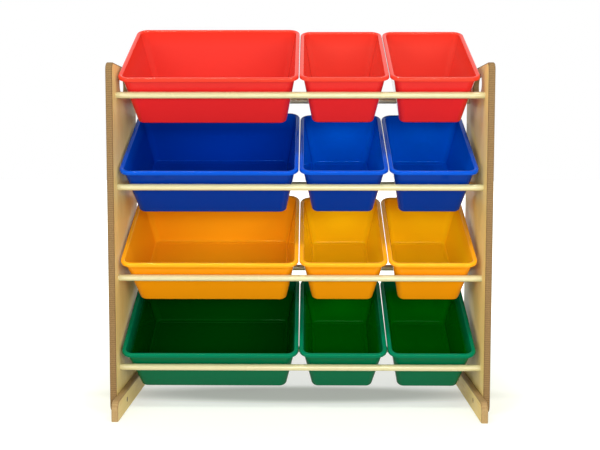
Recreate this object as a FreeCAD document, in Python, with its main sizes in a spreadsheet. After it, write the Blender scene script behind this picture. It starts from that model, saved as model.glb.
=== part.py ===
"""Toy storage organizer: two laminated side panels on feet, four tiers of paired steel rods
and twelve open bins that sit tilted forward on the rods.

Frame: X runs left to right as seen from the front, Y from front to back, Z up, in millimetres.
The origin is on the floor, midway between the panels and midway along their depth.
"""

import FreeCAD, Part

import math
import os
import re

import Sketcher

# Driving dimensions, in millimetres and degrees: name, value, what it sets.
SIZES = [
    ("overall_width", 857.0, "outer face to outer face of the side panels"),
    ("board_thick", 15.0, "thickness of the panel and foot boards"),
    ("panel_depth", 270.0, "front edge to rear edge of a side panel"),
    ("panel_top", 790.0, "height of the panels' top edge above the floor"),
    ("panel_lift", 4.0, "gap between a panel's lower edge and the floor"),
    ("panel_corner", 18.0, "corner radius of a panel seen from the side"),
    ("edge_round", 3.0, "rounding of the board edges"),
    ("hand_length", 105.0, "length of the hand hole"),
    ("hand_height", 39.0, "height of the hand hole"),
    ("hand_flat", 0.02, "straight left at each end of the hand hole, the rest of it is round"),
    ("hand_level", 749.0, "height of the hand hole's middle above the floor"),
    ("foot_reach", 57.0, "how far a foot stands out past the panel's edges"),
    ("foot_height", 44.0, "height of a foot board"),
    ("foot_corner", 20.0, "radius of a foot's upper corners"),
    ("foot_screw_level", 23.0, "height of the foot screws above the floor"),
    ("rod_diameter", 15.0, "outer diameter of the rods"),
    ("rod_wall", 1.2, "wall of the rod tube"),
    ("front_rod_inset", 45.0, "panel's front edge to the front rods' axis"),
    ("rod_spacing", 195.0, "front rod axis to rear rod axis"),
    ("top_rod_level", 720.0, "height of the top tier's rod axes above the floor"),
    ("tier_pitch", 207.0, "height from one tier to the next"),
    ("bolt_diameter", 6.0, "shank of the rod bolts and foot screws"),
    ("bolt_clearance", 0.4, "how much wider than the shank a clearance hole is"),
    ("bolt_point", 0.8, "chamfer at a shank's end"),
    ("head_diameter", 11.0, "diameter of a bolt head"),
    ("head_thick", 3.6, "thickness of a bolt head"),
    ("head_bevel", 0.8, "bevel of a bolt head's outer edge"),
    ("recess_diameter", 12.4, "diameter of the recess round a bolt head"),
    ("recess_depth", 4.0, "board's face to the seat of a bolt head"),
    ("key_width", 4.0, "width across flats of the key socket"),
    ("key_depth", 2.4, "depth of the key socket"),
    ("rod_bolt_length", 29.0, "rod bolt's length under its head"),
    ("foot_screw_length", 22.0, "foot screw's length under its head"),
    ("screw_tip_room", 1.0, "room past a foot screw's end in its hole"),
    ("plug_length", 22.0, "length of the threaded plug in a rod's end"),
    ("fit_gap", 0.05, "radial play of plugs and threads"),
    ("rest_gap", 0.3, "play between a bin and the rods it rests on"),
    ("left_gap", 5.5, "left panel to the large bin's rim"),
    ("right_gap", 11.5, "right bin's rim to the right panel"),
    ("bin_gap", 1.5, "rim to rim of neighbouring bins"),
    ("rim_length", 305.0, "front to back of a bin's rim, along the rim"),
    ("rim_overhang", 7.0, "how far the rim stands out past the wall"),
    ("rim_drop", 8.0, "height of the rim's turned-down skirt"),
    ("rim_thick", 2.2, "thickness of the rim's flange and skirt"),
    ("rim_round", 1.6, "rounding of the rim's outer upper edge"),
    ("rim_corner", 26.0, "corner radius of the rim seen from above"),
    ("wall_thick", 2.4, "wall and floor of a bin"),
    ("front_draft", 13.0, "slope of a bin's front wall"),
    ("rear_draft", 6.0, "slope of a bin's rear wall"),
    ("side_draft", 10.0, "slope of a bin's side walls"),
    ("wall_corner", 19.0, "radius of the bin's upright corners"),
    ("base_round", 7.0, "rounding between a bin's base and its walls"),
    ("pan_inset", 12.0, "base outline to the pressed pan in a bin's floor"),
    ("pan_corner", 8.0, "corner radius of the pressed pan"),
    ("pan_depth", 0.8, "how deep the pan is pressed into the floor"),
    ("large_extra", 3.0, "how much wider a large bin is than two small ones"),
    ("large_height", 129.0, "height of a large bin"),
    ("large_tilt", 28.5, "forward tilt of a large bin on the rods"),
    ("small_height", 126.0, "height of a small bin"),
    ("small_tilt", 27.3, "forward tilt of a small bin on the rods"),
]
SLACK = 1e-4  # positions this close, in millimetres, count as one
TIERS = 4
SIDES = {"left": -1, "right": 1}
ROD_LINES = ("front", "rear")
SMALL_PLACES = ("middle", "right")
UP = FreeCAD.Vector(0, 0, 1)
ACROSS = FreeCAD.Vector(1, 0, 0)

doc = FreeCAD.newDocument("toy_organizer")
sheet = doc.addObject("Spreadsheet::Sheet", "Sizes")
for row, (alias, value, meaning) in enumerate(SIZES, start=1):
    sheet.set(f"A{row}", alias)
    sheet.set(f"B{row}", str(value))
    sheet.set(f"C{row}", meaning)
    sheet.setAlias(f"B{row}", alias)
layout = doc.addObject("App::VarSet", "Layout")
gauge = doc.addObject("App::VarSet", "Gauge")
gauge.addProperty("App::PropertyFloat", "reading")
doc.recompute()

size_names = {alias for alias, value, meaning in SIZES}
layout_names = set()
nodes = []


# ---- formulas -------------------------------------------------------------------------------


def full_names(formula):
    """The formula with each dimension's name led by the object that holds it."""

    def lead(match):
        word = match.group(0)
        if word in size_names:
            return f"Sizes.{word}"
        return f"Layout.{word}" if word in layout_names else word

    return re.sub(r"[A-Za-z_]\w*", lead, formula)


def bind(obj, prop, formula):
    """Tie a property to a formula of named dimensions."""
    obj.setExpression(prop, full_names(formula))


def measure(formula):
    """The number that a formula gives."""
    bind(gauge, "reading", formula)
    gauge.recompute()
    return gauge.reading


def derive(name, formula):
    """Name a dimension that follows from others."""
    layout.addProperty("App::PropertyFloat", name)
    bind(layout, name, formula)
    layout.recompute()
    layout_names.add(name)


derive("inner_face", "overall_width / 2 - board_thick")
derive("panel_height", "panel_top - panel_lift")
derive("foot_length", "panel_depth + 2 * foot_reach")
derive("front_rod_y", "front_rod_inset - panel_depth / 2")
derive("rear_rod_y", "front_rod_y + rod_spacing")
derive("rest_radius", "rod_diameter / 2 + rest_gap")
derive("plug_diameter", "rod_diameter - 2 * rod_wall - 2 * fit_gap")
derive("hole_diameter", "bolt_diameter + bolt_clearance")
derive("thread_diameter", "bolt_diameter + 2 * fit_gap")
derive(
    "small_width",
    "(2 * inner_face - left_gap - right_gap - 2 * bin_gap - large_extra) / 4",
)
derive("large_width", "2 * small_width + large_extra")
derive("screw_bite", "foot_screw_length + recess_depth - board_thick + screw_tip_room")
for tier in range(1, TIERS + 1):
    derive(f"rod_level_{tier}", f"top_rod_level - {tier - 1} * tier_pitch")
for kind in ("large", "small"):
    # The front wall leans on the front rod and the base lies on the rear rod. wall_run is the
    # length of the wall's slope from its touch on the rod down to the base's front edge.
    derive(f"{kind}_lean", f"{kind}_tilt + front_draft")
    derive(
        f"{kind}_wall_run",
        f"(rod_spacing * sin({kind}_tilt) - rest_radius * (1 - sin(front_draft)))"
        " / cos(front_draft)",
    )
    derive(
        f"{kind}_edge_y",
        f"front_rod_y + rest_radius * cos({kind}_lean) + {kind}_wall_run * sin({kind}_lean)",
    )
    derive(
        f"{kind}_edge_rise",
        f"rest_radius * sin({kind}_lean) - {kind}_wall_run * cos({kind}_lean)",
    )
    derive(
        f"{kind}_base_width",
        f"{kind}_width - 2 * (rim_overhang + {kind}_height * tan(side_draft))",
    )
    derive(
        f"{kind}_base_length",
        f"rim_length - 2 * rim_overhang - {kind}_height * (tan(front_draft) + tan(rear_draft))",
    )
derive("large_x", "large_width / 2 + left_gap - inner_face")
derive("middle_x", "large_x + large_width / 2 + bin_gap + small_width / 2")
derive("right_x", "middle_x + small_width + bin_gap")


# ---- bodies and sketches --------------------------------------------------------------------


def new_body(label, x="0", y="0", z="0", turn=None):
    """A body that becomes one node, placed by formulas and turned about an axis by one."""
    body = doc.addObject("PartDesign::Body", label)
    body.Label = label
    if turn:
        axis, angle = turn
        start = FreeCAD.Rotation(axis, measure(angle))
        body.Placement = FreeCAD.Placement(FreeCAD.Vector(), start)
        bind(body, "Placement.Rotation.Angle", angle)
    for letter, formula in zip("xyz", (x, y, z)):
        bind(body, f"Placement.Base.{letter}", formula)
    nodes.append(body)
    return body


def new_sketch(body, name, role, x="0", y="0", z="0"):
    """A sketch parallel to one of the body's origin planes, its origin moved by formulas."""
    sketch = body.newObject("Sketcher::SketchObject", name)
    plane = next(f for f in body.Origin.OriginFeatures if f.Role == role)
    sketch.AttachmentSupport = (plane, [""])
    sketch.MapMode = "FlatFace"
    for letter, formula in zip("xyz", (x, y, z)):
        bind(sketch, f"AttachmentOffset.Base.{letter}", formula)
    return sketch


def constrain(sketch, kind, *where, formula=None):
    """Add a constraint, sized by a formula if one is given."""
    if formula is None:
        return sketch.addConstraint(Sketcher.Constraint(kind, *where))
    index = sketch.addConstraint(Sketcher.Constraint(kind, *where, measure(formula)))
    bind(sketch, f"Constraints[{index}]", formula)
    return index


def point(x, y):
    """A point of a sketch."""
    return FreeCAD.Vector(x, y, 0)


def draw_circle(sketch, x, y, diameter):
    """A circle whose centre and diameter follow formulas."""
    centre = point(measure(x), measure(y))
    circle = sketch.addGeometry(Part.Circle(centre, UP, measure(diameter) / 2))
    for axis, formula in (("DistanceX", x), ("DistanceY", y)):
        if formula == "0":
            constrain(sketch, "PointOnObject", circle, 3, -2 if axis == "DistanceX" else -1)
        else:
            constrain(sketch, axis, -1, 1, circle, 3, formula=formula)
    constrain(sketch, "Diameter", circle, formula=diameter)


def draw_polygon(sketch, corners):
    """A closed outline whose corners follow formulas."""
    spots = [point(measure(x), measure(y)) for x, y in corners]
    lines = []
    for start, end in zip(spots, spots[1:] + spots[:1]):
        lines.append(sketch.addGeometry(Part.LineSegment(start, end)))
    for before, after in zip(lines[-1:] + lines[:-1], lines):
        constrain(sketch, "Coincident", before, 2, after, 1)
    for line, (x, y) in zip(lines, corners):
        for axis, formula in (("DistanceX", x), ("DistanceY", y)):
            if formula == "0":
                constrain(sketch, "PointOnObject", line, 1, -2 if axis == "DistanceX" else -1)
            else:
                constrain(sketch, axis, -1, 1, line, 1, formula=formula)


def draw_rounded_rectangle(sketch, width, height, radius):
    """A rectangle about the sketch's origin with four equal corner arcs."""
    half_w, half_h, bend = measure(width) / 2, measure(height) / 2, measure(radius)
    quarter = math.pi / 2
    signs = [(1, -1), (1, 1), (-1, 1), (-1, -1)]
    arcs = []
    for turn, (sx, sy) in enumerate(signs):
        centre = point(sx * (half_w - bend), sy * (half_h - bend))
        ring = Part.Circle(centre, UP, bend)
        arc = Part.ArcOfCircle(ring, (turn - 1) * quarter, turn * quarter)
        arcs.append(sketch.addGeometry(arc))
    sides = []
    for before, after in zip(arcs, arcs[1:] + arcs[:1]):
        start = sketch.Geometry[before].EndPoint
        end = sketch.Geometry[after].StartPoint
        side = sketch.addGeometry(Part.LineSegment(start, end))
        constrain(sketch, "Tangent", before, 2, side, 1)
        constrain(sketch, "Tangent", side, 2, after, 1)
        sides.append(side)
    right, top, left, bottom = sides
    for side in (right, left):
        constrain(sketch, "Vertical", side)
    for side in (top, bottom):
        constrain(sketch, "Horizontal", side)
    for arc in arcs[1:]:
        constrain(sketch, "Equal", arcs[0], arc)
    constrain(sketch, "Radius", arcs[0], formula=radius)
    constrain(sketch, "DistanceX", -1, 1, right, 1, formula=f"({width}) / 2")
    constrain(sketch, "DistanceX", left, 1, -1, 1, formula=f"({width}) / 2")
    constrain(sketch, "DistanceY", -1, 1, top, 1, formula=f"({height}) / 2")
    constrain(sketch, "DistanceY", bottom, 1, -1, 1, formula=f"({height}) / 2")


# ---- features -------------------------------------------------------------------------------


def pad(body, name, sketch, length, reverse=False, middle=False):
    """Material from a sketch, along its normal, against it or half to each side."""
    feature = body.newObject("PartDesign::Pad", name)
    feature.Profile = sketch
    feature.Reversed = reverse
    feature.Midplane = middle
    bind(feature, "Length", length)
    doc.recompute()
    return feature


def pocket(body, name, sketch, depth=None, reverse=False):
    """A cut against a sketch's normal or along it, right through where no depth is given."""
    before = body.Tip.Shape.Volume
    feature = body.newObject("PartDesign::Pocket", name)
    feature.Profile = sketch
    feature.Reversed = reverse
    if depth is None:
        feature.Type = "ThroughAll"
        feature.Midplane = True
    else:
        bind(feature, "Length", depth)
    doc.recompute()
    if not feature.Shape.Volume < before:
        raise RuntimeError(f"{body.Label}: {name} removes nothing")
    return feature


def fillet(body, name, radius, chosen):
    """Round the edges of the tip that a test chooses."""
    base = body.Tip
    numbered = enumerate(base.Shape.Edges, start=1)
    edges = [f"Edge{i}" for i, edge in numbered if chosen(edge.BoundBox)]
    feature = body.newObject("PartDesign::Fillet", name)
    feature.Base = (base, edges)
    bind(feature, "Radius", radius)
    doc.recompute()
    return feature


def repeat_down(body, name, features, sketch, length):
    """Copies of features down the tiers, along a sketch's vertical axis."""
    pattern = body.newObject("PartDesign::LinearPattern", name)
    pattern.Originals = features
    pattern.Direction = (sketch, ["V_Axis"])
    pattern.Reversed = True
    bind(pattern, "Length", length)
    pattern.Occurrences = TIERS
    body.Tip = pattern
    doc.recompute()


def flat_in_x(box):
    """Whether an edge lies in a plane square to X."""
    return box.XLength < SLACK


# ---- boards ---------------------------------------------------------------------------------


def side_panel(side):
    """A laminated board with rounded corners, a hand hole and bolt holes for the rods."""
    sign = SIDES[side]
    body = new_body(f"side_panel_{side}")
    inner = f"{sign} * inner_face"
    outer = f"{sign} * overall_width / 2"
    middle = "panel_lift + panel_height / 2"

    outline = new_sketch(body, "outline", "YZ_Plane", y=middle, z=inner)
    draw_rounded_rectangle(outline, "panel_depth", "panel_height", "panel_corner")
    pad(body, "board", outline, "board_thick", reverse=sign < 0)

    grip = new_sketch(body, "grip", "YZ_Plane", y="hand_level", z=inner)
    draw_rounded_rectangle(grip, "hand_length", "hand_height", "(hand_height - hand_flat) / 2")
    pocket(body, "hand_hole", grip)
    fillet(body, "eased_edges", "edge_round", flat_in_x)

    shanks = new_sketch(body, "shanks", "YZ_Plane", z=inner)
    seats = new_sketch(body, "seats", "YZ_Plane", z=outer)
    for line in ROD_LINES:
        draw_circle(shanks, f"{line}_rod_y", "top_rod_level", "hole_diameter")
        draw_circle(seats, f"{line}_rod_y", "top_rod_level", "recess_diameter")
    hole = pocket(body, "rod_holes", shanks)
    seat = pocket(body, "head_recesses", seats, "recess_depth", reverse=sign < 0)
    repeat_down(body, "tiers", [hole, seat], shanks, f"{TIERS - 1} * tier_pitch")

    pilots = new_sketch(body, "pilots", "YZ_Plane", z=inner)
    for line in ROD_LINES:
        draw_circle(pilots, f"{line}_rod_y", "foot_screw_level", "thread_diameter")
    pocket(body, "screw_holes", pilots, "screw_bite", reverse=sign > 0)


def foot(side):
    """A board on edge against the panel's inner face, longer than the panel is deep."""
    sign = SIDES[side]
    body = new_body(f"foot_{side}")
    near = f"{sign} * inner_face"
    far = f"{sign} * (inner_face - board_thick)"

    outline = new_sketch(body, "outline", "YZ_Plane", y="foot_height / 2", z=near)
    draw_rounded_rectangle(outline, "foot_length", "foot_height", "foot_corner")
    pad(body, "board", outline, "board_thick", reverse=sign > 0)
    # The lower corners are square: blocks fill them out again.
    for name, way in (("front_heel", -1), ("rear_heel", 1)):
        along = f"{way} * (foot_length - foot_corner) / 2"
        heel = new_sketch(body, name, "YZ_Plane", x=along, y="foot_corner / 2", z=near)
        draw_polygon(
            heel,
            [
                ("-foot_corner / 2", "-foot_corner / 2"),
                ("foot_corner / 2", "-foot_corner / 2"),
                ("foot_corner / 2", "foot_corner / 2"),
                ("-foot_corner / 2", "foot_corner / 2"),
            ],
        )
        pad(body, f"{name}_block", heel, "board_thick", reverse=sign > 0)
    fillet(body, "eased_edges", "edge_round", lambda box: flat_in_x(box) and box.ZMax > SLACK)

    shanks = new_sketch(body, "shanks", "YZ_Plane", z=near)
    seats = new_sketch(body, "seats", "YZ_Plane", z=far)
    for line in ROD_LINES:
        draw_circle(shanks, f"{line}_rod_y", "foot_screw_level", "hole_diameter")
        draw_circle(seats, f"{line}_rod_y", "foot_screw_level", "recess_diameter")
    pocket(body, "screw_holes", shanks)
    pocket(body, "head_recesses", seats, "recess_depth", reverse=sign > 0)


# ---- rods and their fastenings --------------------------------------------------------------


def rod(line, tier):
    """A painted steel tube from panel to panel."""
    body = new_body(f"{line}_rod_{tier}", y=f"{line}_rod_y", z=f"rod_level_{tier}")
    ring = new_sketch(body, "ring", "YZ_Plane", z="-inner_face")
    draw_circle(ring, "0", "0", "rod_diameter")
    draw_circle(ring, "0", "0", "rod_diameter - 2 * rod_wall")
    pad(body, "tube", ring, "2 * inner_face")


def rod_plug(side, line, tier):
    """A threaded plug pressed into a rod's end, flush with it."""
    sign = SIDES[side]
    body = new_body(
        f"rod_plug_{side}_{line}_{tier}",
        x=f"{sign} * inner_face",
        y=f"{line}_rod_y",
        z=f"rod_level_{tier}",
    )
    ring = new_sketch(body, "ring", "YZ_Plane")
    draw_circle(ring, "0", "0", "plug_diameter")
    draw_circle(ring, "0", "0", "thread_diameter")
    pad(body, "plug", ring, "plug_length", reverse=sign > 0)


def bolt(label, length, turned, x, y, z):
    """A socket-headed bolt with its head's seat at the given place, pointing along X."""
    half_turn = (UP, "180") if turned else None
    body = new_body(label, x, y, z, turn=half_turn)
    profile = new_sketch(body, "profile", "XY_Plane")
    draw_polygon(
        profile,
        [
            ("-head_thick", "0"),
            (f"{length}", "0"),
            (f"{length}", "bolt_diameter / 2 - bolt_point"),
            (f"{length} - bolt_point", "bolt_diameter / 2"),
            ("0", "bolt_diameter / 2"),
            ("0", "head_diameter / 2"),
            ("head_bevel - head_thick", "head_diameter / 2"),
            ("-head_thick", "head_diameter / 2 - head_bevel"),
        ],
    )
    turning = body.newObject("PartDesign::Revolution", "turned_blank")
    turning.Profile = profile
    turning.ReferenceAxis = (profile, ["H_Axis"])
    doc.recompute()
    socket = new_sketch(body, "socket", "YZ_Plane", z="-head_thick")
    half, flat = "key_width / 2", "key_width / 2 / cos(30)"
    draw_polygon(
        socket,
        [
            (half, f"-{flat} / 2"),
            (half, f"{flat} / 2"),
            ("0", flat),
            (f"-{half}", f"{flat} / 2"),
            (f"-{half}", f"-{flat} / 2"),
            ("0", f"-{flat}"),
        ],
    )
    pocket(body, "key_socket", socket, "key_depth", reverse=True)


# ---- bins -----------------------------------------------------------------------------------


def top_outlines(body, name, kind, z, *rings):
    """Rounded outlines about the middle of a bin's mouth: each a width, a length and a radius."""
    sketch = new_sketch(
        body,
        name,
        "XY_Plane",
        y=f"{kind}_base_length / 2 + {kind}_height * (tan(rear_draft) - tan(front_draft)) / 2",
        z=z,
    )
    for width, length, radius in rings:
        draw_rounded_rectangle(sketch, width, length, radius)
    return sketch


def draft_sides(body, kind):
    """Cut a wedge off each side of the block, so that the sides lean outward from the base."""
    low, high = f"{kind}_base_width / 2", f"{kind}_width / 2 - rim_overhang"
    wedges = new_sketch(body, "side_wedges", "XZ_Plane")
    for sign in SIDES.values():
        corners = [
            (f"{sign} * ({low})", "0"),
            (f"{sign} * ({high})", "0"),
            (f"{sign} * ({high})", f"{kind}_height"),
        ]
        draw_polygon(wedges, corners)
    pocket(body, "side_drafts", wedges)


def hollow(body, kind):
    """Shell the drafted block to an even wall, open at the top."""
    before = body.Tip
    mouth = level_at(measure(f"{kind}_height"))
    numbered = enumerate(before.Shape.Faces, start=1)
    top = [f"Face{i}" for i, face in numbered if mouth(face.BoundBox)]
    feature = body.newObject("PartDesign::Thickness", "even_wall")
    feature.Base = (before, top)
    feature.Reversed = True
    feature.Join = "Intersection"
    bind(feature, "Value", "wall_thick")
    doc.recompute()
    if not feature.Shape.Volume < before.Shape.Volume / 2:
        raise RuntimeError(f"{body.Label}: the block is not hollowed")


def level_at(height):
    """A test for edges and faces that lie at one height above a bin's base."""
    return lambda box: abs(box.ZMin - height) < SLACK and abs(box.ZMax - height) < SLACK


def storage_bin(label, kind, x, tier):
    """A moulded tub with drafted walls, a turned-down rim and a pan pressed into its floor.

    Its own frame has the base's front edge as X axis, Y along the base and Z up the walls.
    """
    body = new_body(
        label,
        x,
        f"{kind}_edge_y",
        f"rod_level_{tier} + {kind}_edge_rise",
        turn=(ACROSS, f"{kind}_tilt"),
    )
    height = f"{kind}_height"
    full_height = measure(height)

    profile = new_sketch(body, "side_profile", "YZ_Plane")
    draw_polygon(
        profile,
        [
            ("0", "0"),
            (f"{kind}_base_length", "0"),
            (f"{kind}_base_length + {height} * tan(rear_draft)", height),
            (f"-{height} * tan(front_draft)", height),
        ],
    )
    pad(body, "block", profile, f"{kind}_width - 2 * rim_overhang", middle=True)
    draft_sides(body, kind)
    fillet(body, "corner_rounding", "wall_corner", lambda box: box.ZLength > full_height / 2)
    fillet(body, "base_rounding", "base_round", level_at(0))
    hollow(body, kind)

    rim = (f"{kind}_width", "rim_length", "rim_corner")
    skirt_inside = (
        f"{kind}_width - 2 * rim_thick",
        "rim_length - 2 * rim_thick",
        "rim_corner - rim_thick",
    )
    wall_middle = (
        f"{kind}_width - 2 * rim_overhang - wall_thick",
        "rim_length - 2 * rim_overhang - wall_thick",
        "wall_corner - wall_thick / 2",
    )
    flange = top_outlines(body, "flange_edges", kind, f"{height} - rim_thick", rim, wall_middle)
    pad(body, "rim_flange", flange, "rim_thick")
    skirt = top_outlines(body, "skirt_edges", kind, f"{height} - rim_drop", rim, skirt_inside)
    pad(body, "rim_skirt", skirt, "rim_drop - rim_thick")
    half_width, half_length = measure(f"{kind}_width / 2"), measure("rim_length / 2")
    middle = skirt.AttachmentOffset.Base.y
    at_top = level_at(full_height)

    def on_rim_edge(box):
        """Whether a level edge at the top reaches the rim's outermost width or length."""
        across = max(abs(box.XMin), abs(box.XMax)) > half_width - SLACK
        along = max(abs(box.YMin - middle), abs(box.YMax - middle)) > half_length - SLACK
        return at_top(box) and (across or along)

    fillet(body, "rim_rounding", "rim_round", on_rim_edge)

    pan = new_sketch(body, "pan_edge", "XY_Plane", y=f"{kind}_base_length / 2", z="wall_thick")
    draw_rounded_rectangle(
        pan, f"{kind}_base_width - 2 * pan_inset", f"{kind}_base_length - 2 * pan_inset", "pan_corner"
    )
    pocket(body, "floor_pan", pan, "pan_depth")


# ---- assembly -------------------------------------------------------------------------------


def check_document():
    """Stop if any object failed or any node's shape is not a valid solid."""
    for obj in doc.Objects:
        if {"Invalid", "Error"} & set(obj.State):
            raise RuntimeError(f"{obj.Name} ({obj.Label}) failed: {obj.State}")
    for body in nodes:
        shape = body.Shape
        if shape.isNull() or not shape.isValid() or len(shape.Solids) != 1:
            raise RuntimeError(f"{body.Label} is not one valid solid")


for side in SIDES:
    side_panel(side)
    foot(side)
for tier in range(1, TIERS + 1):
    for line in ROD_LINES:
        rod(line, tier)
        for side, sign in SIDES.items():
            rod_plug(side, line, tier)
            bolt(
                f"rod_bolt_{side}_{line}_{tier}",
                "rod_bolt_length",
                sign > 0,
                f"{sign} * (overall_width / 2 - recess_depth)",
                f"{line}_rod_y",
                f"rod_level_{tier}",
            )
for side, sign in SIDES.items():
    for line in ROD_LINES:
        bolt(
            f"foot_screw_{side}_{line}",
            "foot_screw_length",
            sign < 0,
            f"{sign} * (inner_face - board_thick + recess_depth)",
            f"{line}_rod_y",
            "foot_screw_level",
        )
for tier in range(1, TIERS + 1):
    storage_bin(f"bin_large_{tier}", "large", "large_x", tier)
    for place in SMALL_PLACES:
        storage_bin(f"bin_small_{place}_{tier}", "small", f"{place}_x", tier)

check_document()
os.makedirs("parts", exist_ok=True)
for body in nodes:
    body.Shape.exportStep(f"parts/{body.Label}.step")
print(f"{len(nodes)} nodes written")
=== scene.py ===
"""Dresses the toy storage organizer: panels and feet, rods and their fastenings, and the bins.

Everything is in metres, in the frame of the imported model: X to the right, Y to the back, Z up.
Each sub-assembly is a class that holds its sizes, models its pieces and gives them their
finishes. The studio has the camera, the floor and the lamps.
"""

import logging
import math
from dataclasses import dataclass
from enum import Enum
from typing import Callable, Iterable

import bmesh
import bpy
from mathutils import Matrix, Vector


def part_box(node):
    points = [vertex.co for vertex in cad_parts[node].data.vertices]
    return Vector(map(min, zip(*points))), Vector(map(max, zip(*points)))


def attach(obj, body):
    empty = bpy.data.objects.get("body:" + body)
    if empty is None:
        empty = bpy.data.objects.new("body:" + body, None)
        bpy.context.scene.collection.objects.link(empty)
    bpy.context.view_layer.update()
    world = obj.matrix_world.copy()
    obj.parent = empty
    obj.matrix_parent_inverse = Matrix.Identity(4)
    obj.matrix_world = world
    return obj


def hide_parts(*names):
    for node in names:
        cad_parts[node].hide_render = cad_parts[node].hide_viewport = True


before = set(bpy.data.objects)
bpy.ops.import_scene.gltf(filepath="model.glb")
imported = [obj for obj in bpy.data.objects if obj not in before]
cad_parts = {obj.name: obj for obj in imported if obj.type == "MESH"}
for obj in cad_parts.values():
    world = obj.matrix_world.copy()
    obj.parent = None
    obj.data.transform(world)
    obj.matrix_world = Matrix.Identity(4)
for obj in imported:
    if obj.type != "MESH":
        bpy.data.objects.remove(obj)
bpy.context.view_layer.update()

LOG = logging.getLogger("organizer")
MM = 0.001
TIERS = (1, 2, 3, 4)
ROD_LINES = ("front", "rear")
INTERIOR_SHADING = "inside"  # mesh attribute: 0 on a bin's rim and outside, up to 1 at its floor; it masks the painted shade and light inside the bins
WALL_SHADING = "outside"  # mesh attribute: 1 on a bin's outer walls under the rim, 0 elsewhere; it masks the painted shade on those walls
SLACK = 1e-6  # how far off a corner may be, where places are compared
LEVEL_SLACK = 1e-5  # the same, where heights are compared

Colour = tuple[float, float, float]
Tree = bpy.types.NodeTree
Node = bpy.types.Node
Socket = bpy.types.NodeSocket
Material = bpy.types.Material
Piece = bpy.types.Object
Edge = bmesh.types.BMEdge
Face = bmesh.types.BMFace


class Way(Enum):
    """The axis that a board's grain runs along."""

    DEEP = "y"
    UPRIGHT = "z"


def srgb(red: int, green: int, blue: int) -> Colour:
    """Turn a display colour into the linear one that shaders take.

    Args:
        red: Red level, 0 to 255.
        green: Green level, 0 to 255.
        blue: Blue level, 0 to 255.

    Returns:
        The three linear levels, 0 to 1.
    """

    def linear(level: int) -> float:
        """One channel's linear level."""
        part = level / 255
        return part / 12.92 if part <= 0.04045 else ((part + 0.055) / 1.055) ** 2.4

    return linear(red), linear(green), linear(blue)


# ---- shader groups --------------------------------------------------------------------------


def set_inputs(node: Node, **values: object) -> None:
    """Set a node's inputs by name, with spaces written as underscores."""
    for name, value in values.items():
        node.inputs[name.replace("_", " ")].default_value = value


def add_node(tree: Tree, kind: str, **values: object) -> Node:
    """Add a shader node and set its properties and inputs by name.

    Args:
        tree: The node tree that gets the node.
        kind: The node's type, such as ShaderNodeTexNoise.
        **values: Properties of the node, or inputs with spaces written as underscores.

    Returns:
        The new node.
    """
    node = tree.nodes.new(kind)
    for name, value in values.items():
        if hasattr(node, name):
            setattr(node, name, value)
        else:
            set_inputs(node, **{name: value})
    return node


def new_group(
    name: str, inputs: dict[str, tuple[str, object]], outputs: dict[str, str]
) -> Tree:
    """Make an empty shader group with named sockets.

    Args:
        name: The group's name.
        inputs: For each input, its socket type and its default.
        outputs: For each output, its socket type.

    Returns:
        The group's node tree, with its input and output nodes added.
    """
    group = bpy.data.node_groups.new(name, "ShaderNodeTree")
    for label, (kind, default) in inputs.items():
        socket = group.interface.new_socket(name=label, in_out="INPUT", socket_type=kind)
        if default is not None:
            socket.default_value = default
    for label, kind in outputs.items():
        group.interface.new_socket(name=label, in_out="OUTPUT", socket_type=kind)
    group.nodes.new("NodeGroupInput").name = "in"
    group.nodes.new("NodeGroupOutput").name = "out"
    return group


def fine_relief_group() -> Tree:
    """Build the group of a fine moulded or sprayed surface.

    Returns:
        A group that takes a place, a grain size and two roughness levels, and gives a
        roughness, a height and a slow cloudiness.
    """
    group = new_group(
        "fine_relief",
        {
            "Vector": ("NodeSocketVector", None),
            "Scale": ("NodeSocketFloat", 900.0),
            "Smooth": ("NodeSocketFloat", 0.2),
            "Rough": ("NodeSocketFloat", 0.3),
        },
        dict.fromkeys(("Roughness", "Height", "Cloud"), "NodeSocketFloat"),
    )
    links = group.links
    source, sink = group.nodes["in"], group.nodes["out"]
    grain = add_node(group, "ShaderNodeTexNoise", Detail=2.0)
    links.new(source.outputs["Vector"], grain.inputs["Vector"])
    links.new(source.outputs["Scale"], grain.inputs["Scale"])
    cloud = add_node(group, "ShaderNodeTexNoise", Scale=9.0, Detail=3.0, Roughness=0.6)
    links.new(source.outputs["Vector"], cloud.inputs["Vector"])
    spread = add_node(group, "ShaderNodeMapRange", From_Min=0.35, From_Max=0.65)
    links.new(cloud.outputs["Fac"], spread.inputs["Value"])
    links.new(source.outputs["Smooth"], spread.inputs["To Min"])
    links.new(source.outputs["Rough"], spread.inputs["To Max"])
    links.new(spread.outputs["Result"], sink.inputs["Roughness"])
    links.new(grain.outputs["Fac"], sink.inputs["Height"])
    links.new(cloud.outputs["Fac"], sink.inputs["Cloud"])
    return group


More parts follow.
